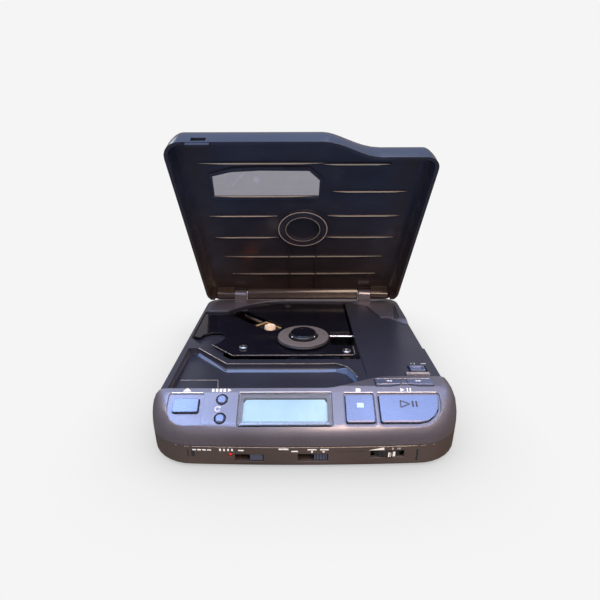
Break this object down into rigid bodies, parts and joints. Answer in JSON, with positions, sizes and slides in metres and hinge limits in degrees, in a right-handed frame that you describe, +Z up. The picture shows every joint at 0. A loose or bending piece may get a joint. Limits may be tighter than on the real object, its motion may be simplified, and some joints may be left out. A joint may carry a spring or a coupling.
{
  "type": "portable cd player",
  "caption": "Square portable CD player with its lid open, a sloped front control panel, a display, thumb buttons, edge sliders and a round disc hub over a pickup mechanism.",
  "frame": {"origin": "middle of the bounding box in plan, at the height of the feet's undersides", "axes": "+Z up, +X to the player's right as seen from the control panel, +Y from the control panel to the lid's hinge"},
  "size_m": [0.131, 0.1506, 0.1282],
  "materials": {
    "panel_paint": "satin metallic paint with a fine fleck",
    "base_plastic": "satin metallic, slightly darker",
    "plate_gloss": "glossy black",
    "lid_gloss": "dark gloss",
    "key_satin": "satin blue-grey",
    "window_clear": "clear, faintly smoked",
    "lcd_glass": "pale liquid crystal panel",
    "steel": "ground",
    "chrome": "bright plated",
    "brass": "satin",
    "rubber": "matt",
    "black_plastic": "moulded",
    "gear_nylon": "natural nylon",
    "board_resin": "green solder mask",
    "ribbon_amber": "polyimide film",
    "lamp_red": "red lens",
    "pack_grey": "film sleeve",
    "lens_glass": "coated lens"
  },
  "bodies": {
    "case": {"battery_pack": "pack_grey", "bottom_case": "base_plastic", "case_screw_left_1": "steel", "case_screw_left_2": "steel", "case_screw_right_1": "steel", "case_screw_right_2": "steel", "damper_1": "rubber", "damper_2": "rubber", "damper_3": "rubber", "dc_jack": "black_plastic", "foot_left_1": "rubber", "foot_left_2": "rubber", "foot_right_1": "rubber", "foot_right_2": "rubber", "guide_pin": "steel", "guide_rod_left": "steel", "guide_rod_right": "steel", "headphone_jack": "black_plastic", "hinge_pin_left": "steel", "hinge_pin_right": "steel", "hold_lamp": "lamp_red", "key_board": "board_resin", "lcd_module": "lcd_glass", "lcd_window": "window_clear", "lid_spring": "steel", "line_out_jack": "black_plastic", "main_board": "board_resin", "mechanism_plate": "plate_gloss", "pickup_flex": "ribbon_amber", "plate_screw_1": "steel", "plate_screw_2": "steel", "plate_screw_3": "steel", "sled_motor": "steel", "spindle_motor": "steel", "top_case": "panel_paint"},
    "lid": {"lid_shell": "lid_gloss", "lid_window": "window_clear"},
    "turntable": {"turntable_platter": "black_plastic", "turntable_mat": "rubber", "hub_ring": "black_plastic", "hub_cap": "plate_gloss", "clamp_ball_1": "chrome", "clamp_ball_2": "chrome", "clamp_ball_3": "chrome"},
    "pickup": {"pickup_sled": "black_plastic", "pickup_lens": "lens_glass", "actuator_yoke": "brass"},
    "sled_gear": {"sled_gear": "gear_nylon"},
    "open_button": {"open_button": "key_satin"},
    "latch": {"latch_hook": "black_plastic"},
    "stop_button": {"stop_button": "key_satin"},
    "play_button": {"play_pause_button": "key_satin"},
    "mode_button": {"play_mode_button": "key_satin"},
    "repeat_button": {"repeat_button": "key_satin"},
    "search_rocker": {"search_rocker": "key_satin"},
    "deck_switch": {"deck_slide_switch": "black_plastic"},
    "hold_slider": {"hold_slider": "key_satin"},
    "bass_slider": {"bass_slider": "key_satin"},
    "volume_wheel": {"volume_wheel": "black_plastic"},
    "battery_door": {"battery_door": "base_plastic"}
  },
  "joints": [
    {"name": "lid_hinge", "type": "hinge", "parent": "case", "child": "lid", "pos_m": [0, 0.06968, 0.0237], "axis": [1, 0, 0], "range_deg": [0, 53.8], "stiffness_Nm_per_rad": 0.02, "springref_deg": -68.75},
    {"name": "turntable_spin", "type": "hinge", "parent": "case", "child": "turntable", "pos_m": [0, 0.00698, 0.0188], "axis": [0, 0, 1], "continuous": true},
    {"name": "pickup_slide", "type": "slide", "parent": "case", "child": "pickup", "axis": [-0.7071, 0.7071, 0], "range_m": [-0.0041, 0.0287]},
    {"name": "sled_gear_turn", "type": "hinge", "parent": "case", "child": "sled_gear", "pos_m": [-0.03618, 0.01606, 0.0128], "axis": [0, 0, 1], "range_deg": [-48, 336]},
    {"name": "open_press", "type": "slide", "parent": "case", "child": "open_button", "axis": [0, 0.5195, -0.8545], "range_m": [0, 0.0012], "stiffness_N_per_m": 400, "springref_m": -0.0003},
    {"name": "latch_slide", "type": "slide", "parent": "case", "child": "latch", "axis": [0, -1, 0], "range_m": [0, 0.0014], "stiffness_N_per_m": 300, "springref_m": -0.0005},
    {"name": "stop_press", "type": "slide", "parent": "case", "child": "stop_button", "axis": [0, 0.5195, -0.8545], "range_m": [0, 0.0008], "stiffness_N_per_m": 500, "springref_m": -0.0003},
    {"name": "play_press", "type": "slide", "parent": "case", "child": "play_button", "axis": [0, 0.5195, -0.8545], "range_m": [0, 0.0008], "stiffness_N_per_m": 500, "springref_m": -0.0003},
    {"name": "mode_press", "type": "slide", "parent": "case", "child": "mode_button", "axis": [0, 0.5195, -0.8545], "range_m": [0, 0.0006], "stiffness_N_per_m": 500, "springref_m": -0.0003},
    {"name": "repeat_press", "type": "slide", "parent": "case", "child": "repeat_button", "axis": [0, 0.5195, -0.8545], "range_m": [0, 0.0006], "stiffness_N_per_m": 500, "springref_m": -0.0003},
    {"name": "search_tilt", "type": "hinge", "parent": "case", "child": "search_rocker", "pos_m": [0.0423, -0.05487, 0.0262], "axis": [0, 1, 0], "range_deg": [-3, 3], "stiffness_Nm_per_rad": 0.5},
    {"name": "deck_switch_slide", "type": "slide", "parent": "case", "child": "deck_switch", "axis": [1, 0, 0], "range_m": [-0.0007, 0.0007]},
    {"name": "hold_slide", "type": "slide", "parent": "case", "child": "hold_slider", "axis": [1, 0, 0], "range_m": [-0.0052, 0]},
    {"name": "bass_slide", "type": "slide", "parent": "case", "child": "bass_slider", "axis": [1, 0, 0], "range_m": [-0.006, 0]},
    {"name": "volume_turn", "type": "hinge", "parent": "case", "child": "volume_wheel", "pos_m": [0.033, -0.06722, 0.0048], "axis": [0, 0, 1], "range_deg": [-135, 135]},
    {"name": "battery_door_slide", "type": "slide", "parent": "case", "child": "battery_door", "axis": [1, 0, 0], "range_m": [0, 0.006]}
  ],
  "couplings": [
    {"joint": "sled_gear_turn", "follows": "pickup_slide", "rad_per_m": 204.08},
    {"joint": "open_press", "follows": "latch_slide", "ratio": 0.85714}
  ]
}
